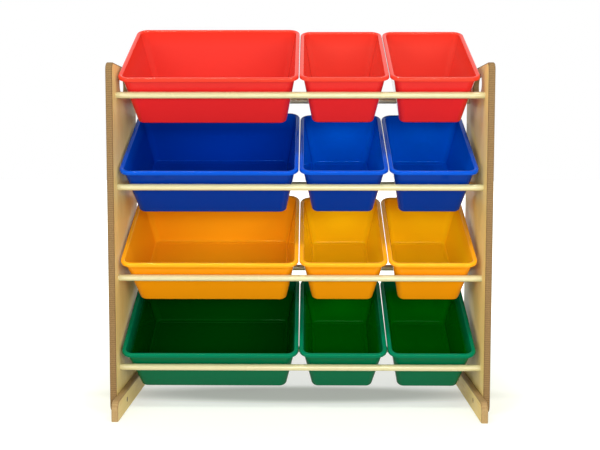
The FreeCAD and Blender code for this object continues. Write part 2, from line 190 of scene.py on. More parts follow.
def streak_group() -> Tree:
    """Build the group of wood grain: long faint streaks with fine pores between them.

    Returns:
        A group that takes a place already stretched along the grain, and gives a streak mask
        and a pore mask.
    """
    group = new_group(
        "grain_streaks",
        {"Vector": ("NodeSocketVector", None), "Scale": ("NodeSocketFloat", 1.0)},
        {"Streaks": "NodeSocketFloat", "Pores": "NodeSocketFloat"},
    )
    links = group.links
    source, sink = group.nodes["in"], group.nodes["out"]
    scaled = add_node(group, "ShaderNodeVectorMath", operation="SCALE")
    links.new(source.outputs["Vector"], scaled.inputs[0])
    links.new(source.outputs["Scale"], scaled.inputs["Scale"])
    broad = add_node(
        group, "ShaderNodeTexNoise", Scale=22.0, Detail=5.0, Roughness=0.62, Distortion=0.4
    )
    links.new(scaled.outputs[0], broad.inputs["Vector"])
    streaks = add_node(group, "ShaderNodeMapRange", From_Min=0.38, From_Max=0.66)
    links.new(broad.outputs["Fac"], streaks.inputs["Value"])
    pores = add_node(group, "ShaderNodeTexNoise", Scale=260.0, Detail=2.0, Roughness=0.5)
    links.new(scaled.outputs[0], pores.inputs["Vector"])
    marks = add_node(group, "ShaderNodeMapRange", From_Min=0.58, From_Max=0.72)
    links.new(pores.outputs["Fac"], marks.inputs["Value"])
    links.new(streaks.outputs["Result"], sink.inputs["Streaks"])
    links.new(marks.outputs["Result"], sink.inputs["Pores"])
    return group


class Groups:
    """The shader groups that the finishes share, each built once."""

    def __init__(self) -> None:
        """Build the groups."""
        self.relief = fine_relief_group()
        self.streaks = streak_group()


def place_group(tree: Tree, group: Tree, **inputs: float) -> Node:
    """Put a shader group in a material.

    Args:
        tree: The material's node tree.
        group: The group.
        **inputs: The group's input values.

    Returns:
        The group node.
    """
    node = tree.nodes.new("ShaderNodeGroup")
    node.node_tree = group
    set_inputs(node, **inputs)
    return node


def new_material(name: str) -> tuple[Material, Node, Socket]:
    """Start a node material.

    Args:
        name: The material's name.

    Returns:
        The material, its Principled shader and the socket of the object's own coordinates.
    """
    material = bpy.data.materials.new(name)
    material.use_nodes = True
    shader = material.node_tree.nodes["Principled BSDF"]
    place = material.node_tree.nodes.new("ShaderNodeTexCoord").outputs["Object"]
    return material, shader, place


def mix_colours(factor: Socket, low: Colour | Socket, high: Colour) -> Socket:
    """Blend two colours by a mask.

    Args:
        factor: The mask, 0 to 1.
        low: The colour, or a socket that gives it, where the mask is 0.
        high: The colour where the mask is 1.

    Returns:
        The socket of the blended colour.
    """
    tree = factor.id_data
    blend = add_node(tree, "ShaderNodeMix", data_type="RGBA")
    tree.links.new(factor, blend.inputs["Factor"])
    low_socket, high_socket = (socket for socket in blend.inputs if socket.type == "RGBA")
    if isinstance(low, Socket):
        tree.links.new(low, low_socket)
    else:
        low_socket.default_value = (*low, 1)
    high_socket.default_value = (*high, 1)
    return next(socket for socket in blend.outputs if socket.type == "RGBA")


def add_bump(shader: Node, height: Socket, depth: float, strength: float) -> None:
    """Feed a height through a bump node to a shader's normal.

    Args:
        shader: The shader that gets the normal.
        height: The height socket.
        depth: The relief's depth in metres.
        strength: How strongly it shows, 0 to 1.
    """
    tree = shader.id_data
    bump = add_node(tree, "ShaderNodeBump", Distance=depth, Strength=strength)
    tree.links.new(height, bump.inputs["Height"])
    tree.links.new(bump.outputs["Normal"], shader.inputs["Normal"])


# ---- finishes -------------------------------------------------------------------------------


@dataclass(frozen=True)
class Skin:
    """A finish's fine surface: the grain's fineness, two roughness levels and the relief."""

    grain: float
    smooth: float
    rough: float
    depth: float
    strength: float

    def lay(
        self, groups: Groups, shader: Node, place: Socket, height: Socket | None = None
    ) -> Socket:
        """Give a shader this surface's roughness and relief.

        Args:
            groups: The shared shader groups.
            shader: The shader.
            place: The socket of the object's own coordinates.
            height: The height socket, where it isn't the grain's own.

        Returns:
            The socket of the surface's slow cloudiness.
        """
        tree = shader.id_data
        relief = place_group(
            tree, groups.relief, Scale=self.grain, Smooth=self.smooth, Rough=self.rough
        )
        tree.links.new(place, relief.inputs["Vector"])
        tree.links.new(relief.outputs["Roughness"], shader.inputs["Roughness"])
        add_bump(shader, height or relief.outputs["Height"], self.depth, self.strength)
        return relief.outputs["Cloud"]


@dataclass(frozen=True)
class MouldedPlastic:
    """Glossy coloured plastic with a fine moulded skin, and painted shade and light in hollows and
    on walls.
    """

    name: str
    colour: Colour
    # painted shade and light inside the bin, full at full_depth
    deep: Colour | None = None
    # painted shade on the outer walls under the rim
    wall: Colour | None = None
    sheen: Colour = (1, 1, 1)
    ior: float = 1.32
    full_depth: float = 0.3
    skin: Skin = Skin(grain=1400.0, smooth=0.04, rough=0.08, depth=0.00001, strength=0.05)
    shine: float = 0.9
    coat: float = 0.1
    coat_roughness: float = 0.03
    coat_ior: float = 1.4

    def build(self, groups: Groups) -> Material:
        """Make the material.

        Args:
            groups: The shared shader groups.

        Returns:
            The material.
        """
        material, shader, place = new_material(self.name)
        shader.inputs["Base Color"].default_value = (*self.colour, 1)
        if self.deep and self.wall:
            tree = material.node_tree
            tree.links.new(self.tint(tree), shader.inputs["Base Color"])
        self.skin.lay(groups, shader, place)
        set_inputs(shader, IOR=self.ior, Specular_IOR_Level=self.shine)
        set_inputs(shader, Specular_Tint=(*self.sheen, 1), Coat_Weight=self.coat)
        set_inputs(shader, Coat_Roughness=self.coat_roughness, Coat_IOR=self.coat_ior)
        return material

    def tint(self, tree: Tree) -> Socket:
        """Blend the rim's colour with the painted interior shade and light and the painted wall
        shade, by the piece's attributes.

        Args:
            tree: The material's node tree.

        Returns:
            The socket of the blended colour.
        """
        inside = add_node(tree, "ShaderNodeAttribute", attribute_name=INTERIOR_SHADING)
        outside = add_node(tree, "ShaderNodeAttribute", attribute_name=WALL_SHADING)
        interior_shading_ramp = add_node(tree, "ShaderNodeMapRange", From_Max=self.full_depth)
        tree.links.new(inside.outputs["Fac"], interior_shading_ramp.inputs["Value"])
        interior_shaded = mix_colours(interior_shading_ramp.outputs["Result"], self.colour, self.deep)
        return mix_colours(outside.outputs["Fac"], interior_shaded, self.wall)


@dataclass(frozen=True)
class Laminate:
    """Pale maple laminate: faint streaks along the board under a satin film."""

    name: str
    way: Way
    pale: Colour = srgb(242, 214, 138)
    streak: Colour = srgb(237, 206, 127)
    pore: Colour = srgb(227, 193, 113)
    along_grain: float = 0.06
    skin: Skin = Skin(grain=700.0, smooth=0.36, rough=0.48, depth=0.00001, strength=0.1)
    shine: float = 0.2
    ior: float = 1.36

    def build(self, groups: Groups) -> Material:
        """Make the material.

        Args:
            groups: The shared shader groups.

        Returns:
            The material.
        """
        material, shader, place = new_material(self.name)
        tree = material.node_tree
        along = self.along_grain
        scale = (1, along, 1) if self.way is Way.DEEP else (1, 1, along)
        stretch = add_node(tree, "ShaderNodeMapping", Scale=scale)
        tree.links.new(place, stretch.inputs["Vector"])
        grain = place_group(tree, groups.streaks, Scale=1.0)
        tree.links.new(stretch.outputs["Vector"], grain.inputs["Vector"])
        streaked = mix_colours(grain.outputs["Streaks"], self.pale, self.streak)
        pored = mix_colours(grain.outputs["Pores"], streaked, self.pore)
        tree.links.new(pored, shader.inputs["Base Color"])
        self.skin.lay(groups, shader, place)
        set_inputs(shader, IOR=self.ior, Specular_IOR_Level=self.shine)
        return material


@dataclass(frozen=True)
class BoardEdge:
    """Routed fibreboard edge: brown, with fine cutter banding across it and fibre specks."""

    name: str
    way: Way
    brown: Colour = srgb(146, 116, 74)
    dark: Colour = srgb(112, 85, 49)
    band_scale: float = 65.625
    fibre_scale: float = 420.0
    band_share: float = 0.35
    skin: Skin = Skin(grain=500.0, smooth=0.5, rough=0.65, depth=0.00015, strength=0.35)
    shine: float = 0.15

    def build(self, groups: Groups) -> Material:
        """Make the material.

        Args:
            groups: The shared shader groups.

        Returns:
            The material.
        """
        material, shader, place = new_material(self.name)
        tree = material.node_tree
        bands = add_node(
            tree,
            "ShaderNodeTexWave",
            bands_direction="Y" if self.way is Way.DEEP else "Z",
            Scale=self.band_scale,
            Distortion=1.2,
            Detail=2.0,
        )
        tree.links.new(place, bands.inputs["Vector"])
        fibres = add_node(
            tree, "ShaderNodeTexNoise", Scale=self.fibre_scale, Detail=4.0, Roughness=0.7
        )
        tree.links.new(place, fibres.inputs["Vector"])
        sum_up = add_node(tree, "ShaderNodeMath", operation="MULTIPLY_ADD")
        tree.links.new(bands.outputs["Fac"], sum_up.inputs[0])
        sum_up.inputs[1].default_value = self.band_share
        tree.links.new(fibres.outputs["Fac"], sum_up.inputs[2])
        mask = add_node(tree, "ShaderNodeMapRange", From_Min=0.4, From_Max=1.0)
        tree.links.new(sum_up.outputs[0], mask.inputs["Value"])
        tint = mix_colours(mask.outputs["Result"], self.brown, self.dark)
        tree.links.new(tint, shader.inputs["Base Color"])
        self.skin.lay(groups, shader, place, fibres.outputs["Fac"])
        shader.inputs["Specular IOR Level"].default_value = self.shine
        return material


@dataclass(frozen=True)
class Enamel:
    """Glossy sprayed enamel with a faint orange peel."""

    name: str
    colour: Colour = srgb(221, 215, 165)
    shade: Colour = srgb(212, 201, 148)
    skin: Skin = Skin(grain=450.0, smooth=0.2, rough=0.3, depth=0.00004, strength=0.3)
    coat: float = 0.5
    coat_roughness: float = 0.12

    def build(self, groups: Groups) -> Material:
        """Make the material.

        Args:
            groups: The shared shader groups.

        Returns:
            The material.
        """
        material, shader, place = new_material(self.name)
        tree = material.node_tree
        tint = mix_colours(self.skin.lay(groups, shader, place), self.colour, self.shade)
        tree.links.new(tint, shader.inputs["Base Color"])
        set_inputs(shader, Coat_Weight=self.coat, Coat_Roughness=self.coat_roughness)
        return material


@dataclass(frozen=True)
class PlatedSteel:
    """Zinc-plated steel with a mottled dull shine."""

    name: str
    colour: Colour = srgb(196, 196, 190)
    shade: Colour = srgb(160, 160, 155)
    skin: Skin = Skin(grain=2500.0, smooth=0.28, rough=0.45, depth=0.00003, strength=0.4)

    def build(self, groups: Groups) -> Material:
        """Make the material.

        Args:
            groups: The shared shader groups.

        Returns:
            The material.
        """
        material, shader, place = new_material(self.name)
        tree = material.node_tree
        tint = mix_colours(self.skin.lay(groups, shader, place), self.colour, self.shade)
        tree.links.new(tint, shader.inputs["Base Color"])
        shader.inputs["Metallic"].default_value = 1.0
        return material


# ---- modelling ------------------------------------------------------------------------------


class Bench:
    """One piece on the workbench: a primitive that edit-mode operators shape."""

    def __init__(self, name: str) -> None:
        """Note the piece's name.

        Args:
            name: The name that the finished piece gets.
        """
        self.name = name
        self.piece: Piece | None = None

    def start(self, operator: Callable, **values: object) -> "Bench":
        """Add a primitive at the origin and go into edit mode.

        Args:
            operator: The operator that adds the primitive.
            **values: The operator's settings.

        Returns:
            This bench.
        """
        bpy.ops.object.select_all(action="DESELECT")
        operator(location=(0, 0, 0), **values)
        self.piece = bpy.context.object
        self.piece.name = self.piece.data.name = self.name
        bpy.ops.object.mode_set(mode="EDIT")
        return self

    def resume(self) -> None:
        """Go back into edit mode on the piece."""
        bpy.ops.object.select_all(action="DESELECT")
        bpy.context.view_layer.objects.active = self.piece
        self.piece.select_set(True)
        bpy.ops.object.mode_set(mode="EDIT")

    def leave(self) -> None:
        """Leave edit mode."""
        bpy.ops.object.mode_set(mode="OBJECT")

    def choose_faces(self, test: Callable[[Face], bool]) -> int:
        """Select the faces that a test picks.

        Args:
            test: Says whether a face is wanted.

        Returns:
            How many faces are selected.
        """
        return self._choose("FACE", test)

    def choose_edges(self, test: Callable[[Edge], bool]) -> int:
        """Select the edges that a test picks.

        Args:
            test: Says whether an edge is wanted.

        Returns:
            How many edges are selected.
        """
        return self._choose("EDGE", test)

    def _choose(self, mode: str, test: Callable) -> int:
        """Select what a test picks in one selection mode."""
        bpy.ops.mesh.select_all(action="DESELECT")
        bpy.ops.mesh.select_mode(type=mode)
        shape = bmesh.from_edit_mesh(self.piece.data)
        parts = shape.faces if mode == "FACE" else shape.edges
        picked = [part for part in parts if test(part)]
        for part in picked:
            part.select_set(True)
        bmesh.update_edit_mesh(self.piece.data)
        return len(picked)

    def modify(self, kind: str, **values: object) -> None:
        """Add a modifier, set it and apply it.

        Args:
            kind: The modifier's type.
            **values: Its settings.
        """
        bpy.ops.object.select_all(action="DESELECT")
        bpy.context.view_layer.objects.active = self.piece
        self.piece.select_set(True)
        modifier = self.piece.modifiers.new(kind.lower(), kind)
        for name, value in values.items():
            setattr(modifier, name, value)
        bpy.ops.object.modifier_apply(modifier=modifier.name)

    def smooth(self, degrees: float) -> None:
        """Shade the piece smooth up to an angle, with large faces kept flat.

        Args:
            degrees: The angle past which an edge stays sharp.
        """
        bpy.ops.object.select_all(action="DESELECT")
        bpy.context.view_layer.objects.active = self.piece
        self.piece.select_set(True)
        bpy.ops.object.shade_smooth_by_angle(angle=math.radians(degrees))
        self.modify("WEIGHTED_NORMAL", keep_sharp=True, weight=100)


def level(part: Edge | Face, height: float) -> bool:
    """Tell whether an edge or face lies at one height.

    Args:
        part: The edge or face.
        height: The height, in the piece's own frame.

    Returns:
        Whether all its corners are at that height.
    """
    return all(abs(v.co.z - height) < LEVEL_SLACK for v in part.verts)


def dress(piece: Piece, materials: Iterable[Material]) -> None:
    """Give a piece its materials, replacing those it had.

    Args:
        piece: The piece.
        materials: The materials, in slot order.
    """
    piece.data.materials.clear()
    for material in materials:
        piece.data.materials.append(material)


def copy_piece(master: Piece, name: str, place: Matrix) -> Piece:
    """Copy a modelled piece to another place.

    Args:
        master: The piece.
        name: The copy's name.
        place: Where the copy goes; a place that mirrors it has its faces turned out again.

    Returns:
        The copy, with its own mesh and its place in it.
    """
    copy = master.copy()
    copy.data = master.data.copy()
    copy.name = copy.data.name = name
    bpy.context.scene.collection.objects.link(copy)
    copy.data.transform(place)
    if place.determinant() < 0:
        copy.data.flip_normals()
    return copy


def seat(piece: Piece, body: str, node: str) -> None:
    """Let a finished piece stand for a node of the frame.

    Args:
        piece: The piece, in place.
        body: The body that it rides on.
        node: The node that it replaces.
    """
    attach(piece, body)
    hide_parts(node)
    LOG.info("%s rides on %s", piece.name, body)


def middle_and_size(node: str) -> tuple[Vector, Vector]:
    """Read a node's place from the frame.

    Args:
        node: The node's name.

    Returns:
        The middle and the size of its box at rest.
    """
    low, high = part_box(node)
    return (low + high) / 2, high - low


# ---- boards ---------------------------------------------------------------------------------


@dataclass
class Boards:
    """The side panels and the feet: laminated boards with eased fibreboard edges."""

    panel_corner: float = 18 * MM
    foot_corner: float = 20 * MM
    edge_round: float = 3 * MM
    hand_length: float = 105 * MM
    hand_height: float = 39 * MM
    hand_below_top: float = 41 * MM
    hand_end_round: float = 0.999  # share of the hand hole's half height
    hand_slack: float = 0.1 * MM
    recess_radius: float = 6.2 * MM
    recess_depth: float = 4 * MM
    corner_steps: int = 10
    edge_steps: int = 4
    recess_steps: int = 32
    smooth_up_to: float = 30.0
    face_normal: float = 0.999  # the least X part of a board face's normal

    def build(self, groups: Groups) -> None:
        """Model the left panel and foot, and mirror them to the right.

        Args:
            groups: The shared shader groups.
        """
        panel_finish = [
            Laminate("maple_laminate_upright", Way.UPRIGHT).build(groups),
            BoardEdge("board_edge_upright", Way.UPRIGHT).build(groups),
        ]
        # painted light: the feet get a lighter copy of the panels' fibreboard edge, standing for
        # the brighter light on them
        lit_foot_edge = BoardEdge(
            "board_edge_deep", Way.DEEP, brown=srgb(176, 146, 98), dark=srgb(150, 120, 76)
        )
        foot_finish = [
            Laminate("maple_laminate_deep", Way.DEEP).build(groups),
            lit_foot_edge.build(groups),
        ]
        panel = self.panel()
        self.finish(panel, panel_finish)
        foot = self.foot()
        self.finish(foot, foot_finish)
        mirror = Matrix.Scale(-1, 4, (1, 0, 0))
        for board, node in ((panel, "side_panel"), (foot, "foot")):
            seat(board, "frame", f"{node}_left")
            other = copy_piece(board, board.name.replace("left", "right"), mirror)
            seat(other, "frame", f"{node}_right")

    def slab(self, name: str, node: str) -> tuple[Bench, Vector, Vector]:
        """Start a board as a block of its node's size and place, in edit mode.

        Args:
            name: The piece's name.
            node: The node that it stands for.

        Returns:
            The bench with the board, the board's middle and its size.
        """
        middle, size = middle_and_size(node)
        bench = Bench(name).start(bpy.ops.mesh.primitive_cube_add, size=1)
        bpy.ops.transform.resize(value=size)
        bpy.ops.transform.translate(value=middle)
        return bench, middle, size

    def panel(self) -> Piece:
        """Model the left side panel.

        Returns:
            The panel.
        """
        bench, middle, size = self.slab("panel_board_left", "side_panel_left")
        bench.choose_edges(lambda edge: self.runs_across(edge, size))
        bpy.ops.mesh.bevel(offset=self.panel_corner, segments=self.corner_steps)
        self.ease(bench, lambda edge: self.on_face(edge, middle, size))
        bench.leave()
        self.cut_hand_hole(bench, middle, size)
        outer = middle.x - size.x / 2
        for line in ROD_LINES:
            for tier in TIERS:
                rod, _ = middle_and_size(f"{line}_rod_{tier}")
                self.cut_recess(bench, Vector((outer, rod.y, rod.z)))
        return bench.piece

    def foot(self) -> Piece:
        """Model the left foot.

        Returns:
            The foot.
        """
        bench, middle, size = self.slab("foot_board_left", "foot_left")
        top = middle.z + size.z / 2
        bench.choose_edges(lambda edge: self.runs_across(edge, size) and level(edge, top))
        bpy.ops.mesh.bevel(offset=self.foot_corner, segments=self.corner_steps)
        bottom = middle.z - size.z / 2
        self.ease(bench, lambda edge: self.on_face(edge, middle, size) and not level(edge, bottom))
        bench.leave()
        inner = middle.x + size.x / 2
        for line in ROD_LINES:
            screw, _ = middle_and_size(f"foot_screw_left_{line}")
            self.cut_recess(bench, Vector((inner, screw.y, screw.z)))
        return bench.piece

    @staticmethod
    def runs_across(edge: Edge, size: Vector) -> bool:
        """Tell whether an edge runs through the board's thickness."""
        ends = [v.co for v in edge.verts]
        return abs(abs(ends[0].x - ends[1].x) - size.x) < SLACK

    @staticmethod
    def on_face(edge: Edge, middle: Vector, size: Vector) -> bool:
        """Tell whether an edge lies in one of the board's two faces."""
        offsets = [v.co.x - middle.x for v in edge.verts]
        in_face = abs(abs(offsets[0]) - size.x / 2) < SLACK
        return in_face and abs(offsets[0] - offsets[1]) < SLACK

    def ease(self, bench: Bench, wanted: Callable[[Edge], bool]) -> None:
        """Round the chosen edges of a board.

        Args:
            bench: The bench with the board, in edit mode.
            wanted: Says whether an edge is rounded.
        """
        bench.choose_edges(wanted)
        bpy.ops.mesh.bevel(offset=self.edge_round, segments=self.edge_steps)

    def cut_hand_hole(self, bench: Bench, middle: Vector, size: Vector) -> None:
        """Cut the hand hole through a panel and round its edges.

        Args:
            bench: The bench with the panel, in object mode.
            middle: The panel's middle.
            size: The panel's size.
        """
        hole = Vector((middle.x, middle.y, middle.z + size.z / 2 - self.hand_below_top))
        cutter = Bench("hand_hole_cutter").start(bpy.ops.mesh.primitive_cube_add, size=1)
        bpy.ops.transform.resize(value=(2 * size.x, self.hand_length, self.hand_height))
        bpy.ops.transform.translate(value=hole)
        cutter.choose_edges(lambda edge: self.runs_across(edge, 2 * size))
        radius = self.hand_height / 2 * self.hand_end_round
        bpy.ops.mesh.bevel(offset=radius, segments=2 * self.corner_steps)
        cutter.leave()
        self.subtract(bench, cutter)

        def on_hole(edge: Edge) -> bool:
            """Whether an edge is on the hole's outline in one of the faces."""
            near = all(
                abs(v.co.y - hole.y) < self.hand_length / 2 + self.hand_slack
                and abs(v.co.z - hole.z) < self.hand_height / 2 + self.hand_slack
                for v in edge.verts
            )
            return near and self.on_face(edge, middle, size)

        bench.resume()
        self.ease(bench, on_hole)
        bench.leave()

    def cut_recess(self, bench: Bench, mouth: Vector) -> None:
        """Sink a round recess for a bolt head into a board's face.

        Args:
            bench: The bench with the board, in object mode.
            mouth: The middle of the recess in the board's face.
        """
        cutter = Bench("recess_cutter").start(
            bpy.ops.mesh.primitive_cylinder_add,
            vertices=self.recess_steps,
            radius=self.recess_radius,
            depth=2 * self.recess_depth,
        )
        bpy.ops.transform.rotate(value=math.pi / 2, orient_axis="Y", center_override=(0, 0, 0))
        bpy.ops.transform.translate(value=mouth)
        cutter.leave()
        self.subtract(bench, cutter)

    @staticmethod
    def subtract(bench: Bench, cutter: Bench) -> None:
        """Cut one piece's shape out of another and remove the cutter.

        Args:
            bench: The bench with the piece that is cut.
            cutter: The bench with the cutting shape.
        """
        bench.modify("BOOLEAN", operation="DIFFERENCE", object=cutter.piece, solver="EXACT")
        bpy.data.objects.remove(cutter.piece)

    def finish(self, board: Piece, finish: list[Material]) -> None:
        """Lay laminate on a board's two faces and leave the rest as fibreboard.

        Args:
            board: The board.
            finish: The laminate and the edge material.
        """
        dress(board, finish)
        for face in board.data.polygons:
            face.material_index = 0 if abs(face.normal.x) > self.face_normal else 1
        bench = Bench(board.name)
        bench.piece = board
        bench.smooth(self.smooth_up_to)


# ---- rods and fastenings --------------------------------------------------------------------


@dataclass
class Rods:
    """The painted tubes of each tier, and the bolts, screws and plugs that hold the frame."""

    tube_wall: float = 1.2 * MM
    bore_shown: float = 20 * MM
    steps_round: int = 48
    smooth_up_to: float = 40.0
    plug_skin: Skin = Skin(grain=1400.0, smooth=0.45, rough=0.6, depth=0.00001, strength=0.05)

    def build(self, groups: Groups) -> None:
        """Model the rods and dress their fastenings.

        Args:
            groups: The shared shader groups.
        """
        enamel = Enamel("cream_enamel").build(groups)
        _, size = middle_and_size("front_rod_1")
        tube = self.tube("master_tube", size.x, size.z / 2)
        dress(tube, [enamel])
        for line in ROD_LINES:
            for tier in TIERS:
                node = f"{line}_rod_{tier}"
                place = Matrix.Translation(middle_and_size(node)[0])
                rod = copy_piece(tube, f"{line}_tube_{tier}", place)
                seat(rod, "frame", node)
        bpy.data.objects.remove(tube)
        self.dress_fastenings(groups)

    def tube(self, name: str, length: float, radius: float) -> Piece:
        """Model one rod as an open-ended tube along X, with its middle at the origin.

        Args:
            name: The piece's name.
            length: The rod's length.
            radius: Its outer radius.

        Returns:
            The rod.
        """
        bench = Bench(name).start(
            bpy.ops.mesh.primitive_cylinder_add,
            vertices=self.steps_round,
            radius=radius,
            depth=length,
        )
        for end in (-1, 1):
            bench.choose_faces(lambda face: level(face, end * length / 2))
            bpy.ops.mesh.inset(thickness=self.tube_wall)
            bpy.ops.mesh.extrude_region_move(
                TRANSFORM_OT_translate={"value": (0, 0, -end * self.bore_shown)}
            )
        bpy.ops.mesh.select_all(action="SELECT")
        bpy.ops.transform.rotate(value=math.pi / 2, orient_axis="Y", center_override=(0, 0, 0))
        bench.leave()
        bench.smooth(self.smooth_up_to)
        return bench.piece

    def dress_fastenings(self, groups: Groups) -> None:
        """Give the bolts plated steel, the foot screws a dark brown steel that is painted shade in
        their recesses, and the plugs dark plastic.

        Args:
            groups: The shared shader groups.
        """
        steel = PlatedSteel("plated_steel").build(groups)
        # the foot screws' dark brown is painted shade, standing for the shade in their recesses
        shade_darkened = PlatedSteel("bronzed_steel", srgb(104, 84, 60), srgb(76, 60, 42)).build(groups)
        black = MouldedPlastic("plug_plastic", srgb(52, 52, 54), skin=self.plug_skin, coat=0.0)
        finishes = {"bolt": steel, "screw": shade_darkened, "plug": black.build(groups)}
        for name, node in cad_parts.items():
            for word, finish in finishes.items():
                if word not in name:
                    continue
                for slot in node.material_slots:
                    slot.material = finish
                LOG.info("%s is %s", name, finish.name)


# ---- bins -----------------------------------------------------------------------------------


@dataclass(frozen=True)
class Tone:
    """The look of one tier's bins: the rim's own colour, painted shade on the outer walls and
    painted shade and light deep inside.
    """

    name: str
    rim: Colour
    wall: Colour
    deep_large: Colour
    deep_small: Colour
    sheen: Colour
    ior: float

    def plastic(self, size: str) -> MouldedPlastic:
        """Name the finish of this tier's bins of one size, large or small."""
        # the painted interior shade and light for this size of bin
        deep = self.deep_large if size == "large" else self.deep_small
        name = f"{self.name}_{size}"
        return MouldedPlastic(name, self.rim, deep, self.wall, self.sheen, self.ior)


# the rim is the plastic's own colour; the other colours paint shade on the outer walls and shade
# and light inside the bins, lighter in the small ones
TONES = {
    1: Tone(
        "red_plastic",
        rim=srgb(228, 56, 38),
        wall=srgb(222, 40, 40),
        deep_large=srgb(226, 66, 56),
        deep_small=srgb(227, 72, 58),
        sheen=srgb(255, 150, 120),
        ior=1.32,
    ),
    2: Tone(
        "blue_plastic",
        rim=srgb(4, 78, 196),
        wall=srgb(2, 52, 148),
        deep_large=srgb(0, 53, 168),
        deep_small=srgb(0, 92, 212),
        sheen=srgb(40, 140, 255),
        ior=1.22,
    ),
    3: Tone(
        "yellow_plastic",
        rim=srgb(252, 170, 24),
        wall=srgb(244, 152, 12),
        deep_large=srgb(251, 168, 20),
        deep_small=srgb(255, 201, 14),
        sheen=srgb(255, 214, 110),
        ior=1.32,
    ),
    4: Tone(
        "green_plastic",
        rim=srgb(0, 116, 79),
        wall=srgb(0, 107, 67),
        deep_large=srgb(0, 68, 6),
        deep_small=srgb(0, 106, 4),
        sheen=srgb(20, 210, 60),
        ior=1.11,
    ),
}


@dataclass(frozen=True)
class BinKind:
    """The sizes in which the two kinds of bin differ, and the columns that they stand in."""

    name: str
    columns: tuple[str, ...]
    width: float
    height: float
    tilt: float


@dataclass
class Bins:
    """The twelve moulded bins: drafted walls, a turned-down rim and a pan in the floor."""

    large_height: float = 129 * MM
    small_height: float = 126 * MM
    large_tilt: float = math.radians(28.5)
    small_tilt: float = math.radians(27.3)
    rim_length: float = 305 * MM
    rim_overhang: float = 7 * MM
    rim_drop: float = 8 * MM
    rim_corner: float = 26 * MM
    cad_rim_round: float = 1.6 * MM
    rim_round: float = 4.0 * MM
    wall: float = 2.4 * MM
    front_draft: float = math.radians(13)
    rear_draft: float = math.radians(6)
    side_draft: float = math.radians(10)
    inner_round: float = 4.2 * MM
    pan_inset: float = 4.4 * MM
    pan_slope: float = 0.8 * MM
    pan_depth: float = 0.8 * MM
    corner_steps: int = 12
    round_steps: int = 5
    smooth_up_to: float = 35.0

    def build(self, groups: Groups) -> None:
        """Model one bin of each kind and copy it to every place, in the tier's colour.

        Args:
            groups: The shared shader groups.
        """
        large = self.kind("large", ("bin_large",), self.large_height, self.large_tilt)
        small_columns = ("bin_small_middle", "bin_small_right")
        small = self.kind("small", small_columns, self.small_height, self.small_tilt)
        masters = {kind: self.tub(f"{kind.name}_tub", kind) for kind in (large, small)}
        for tier, tone in TONES.items():
            for kind, master in masters.items():
                plastic = tone.plastic(kind.name).build(groups)
                for column in kind.columns:
                    node = f"{column}_{tier}"
                    tub = self.copy_to(master, kind, node)
                    dress(tub, [plastic])
                    seat(tub, node, node)
        for master in masters.values():
            bpy.data.objects.remove(master)

    @staticmethod
    def kind(name: str, columns: tuple[str, ...], height: float, tilt: float) -> BinKind:
        """Describe a kind of bin, with its width from its first column's top bin."""
        return BinKind(name, columns, middle_and_size(f"{columns[0]}_1")[1].x, height, tilt)

    def spans(self, kind: BinKind, height: float) -> tuple[float, float, float]:
        """Inner width, inner length and middle of a bin at a height above its base.

        Args:
            kind: The kind of bin.
            height: The height.

        Returns:
            The width, the length and the middle along the length.
        """
        front, rear = math.tan(self.front_draft), math.tan(self.rear_draft)
        top_width = kind.width - 2 * self.rim_overhang
        top_length = self.rim_length - 2 * self.rim_overhang
        below = kind.height - height
        base_length = top_length - kind.height * (front + rear)
        sides = 2 * self.wall / math.cos(self.side_draft)
        width = top_width - 2 * below * math.tan(self.side_draft) - sides
        walls = self.wall / math.cos(self.front_draft) + self.wall / math.cos(self.rear_draft)
        length = top_length - below * (front + rear) - walls
        return width, length, base_length / 2 + height * (rear - front) / 2

    def tub(self, name: str, kind: BinKind) -> Piece:
        """Model a bin in its own frame: its base's front edge on X, Y along the base, Z up.

        Args:
            name: The piece's name.
            kind: The kind of bin.

        Returns:
            The bin.
        """
        mouth_width, mouth_length, mouth_middle = self.spans(kind, kind.height)
        floor_width, floor_length, floor_middle = self.spans(kind, self.wall)
        bench = Bench(name).start(bpy.ops.mesh.primitive_plane_add, size=1)
        bpy.ops.transform.resize(value=(kind.width, self.rim_length, 1))
        bpy.ops.transform.translate(value=(0, mouth_middle, kind.height))
        bpy.ops.mesh.bevel(offset=self.rim_corner, segments=self.corner_steps, affect="VERTICES")

        bench.choose_faces(lambda face: True)
        bpy.ops.mesh.inset(thickness=(kind.width - mouth_width) / 2, use_boundary=True)
        bpy.ops.mesh.extrude_region_move(
            TRANSFORM_OT_translate={
                "value": (0, floor_middle - mouth_middle, self.wall - kind.height)
            }
        )
        bpy.ops.transform.resize(
            value=(floor_width / mouth_width, floor_length / mouth_length, 1),
            center_override=(0, floor_middle, self.wall),
        )
        bench.choose_edges(lambda edge: level(edge, self.wall))
        bpy.ops.mesh.bevel(offset=self.inner_round, segments=self.round_steps)

        bench.choose_edges(lambda edge: edge.is_boundary)
        bpy.ops.mesh.extrude_region_move(TRANSFORM_OT_translate={"value": (0, 0, -self.rim_drop)})
        bench.choose_edges(lambda edge: level(edge, kind.height) and self.is_rim_edge(edge))
        bpy.ops.mesh.bevel(offset=self.rim_round, segments=self.round_steps)
        bench.leave()
        bench.modify(
            "SOLIDIFY",
            thickness=self.wall,
            offset=-1,
            use_even_offset=True,
            use_quality_normals=True,
        )

        bench.resume()
        half_floor = floor_width * floor_length / 2
        bench.choose_faces(lambda face: level(face, self.wall) and face.calc_area() > half_floor)
        bpy.ops.mesh.inset(thickness=self.pan_inset)
        bpy.ops.mesh.inset(thickness=self.pan_slope, depth=-self.pan_depth)
        bench.leave()
        self.mark_depths(bench.piece, kind, mouth_middle)
        bench.smooth(self.smooth_up_to)
        return bench.piece

    @staticmethod
    def is_rim_edge(edge: Edge) -> bool:
        """Tell whether an edge lies between the rim's flat top and a steep face."""
        return len({face.normal.z > 0.9 for face in edge.link_faces}) == 2

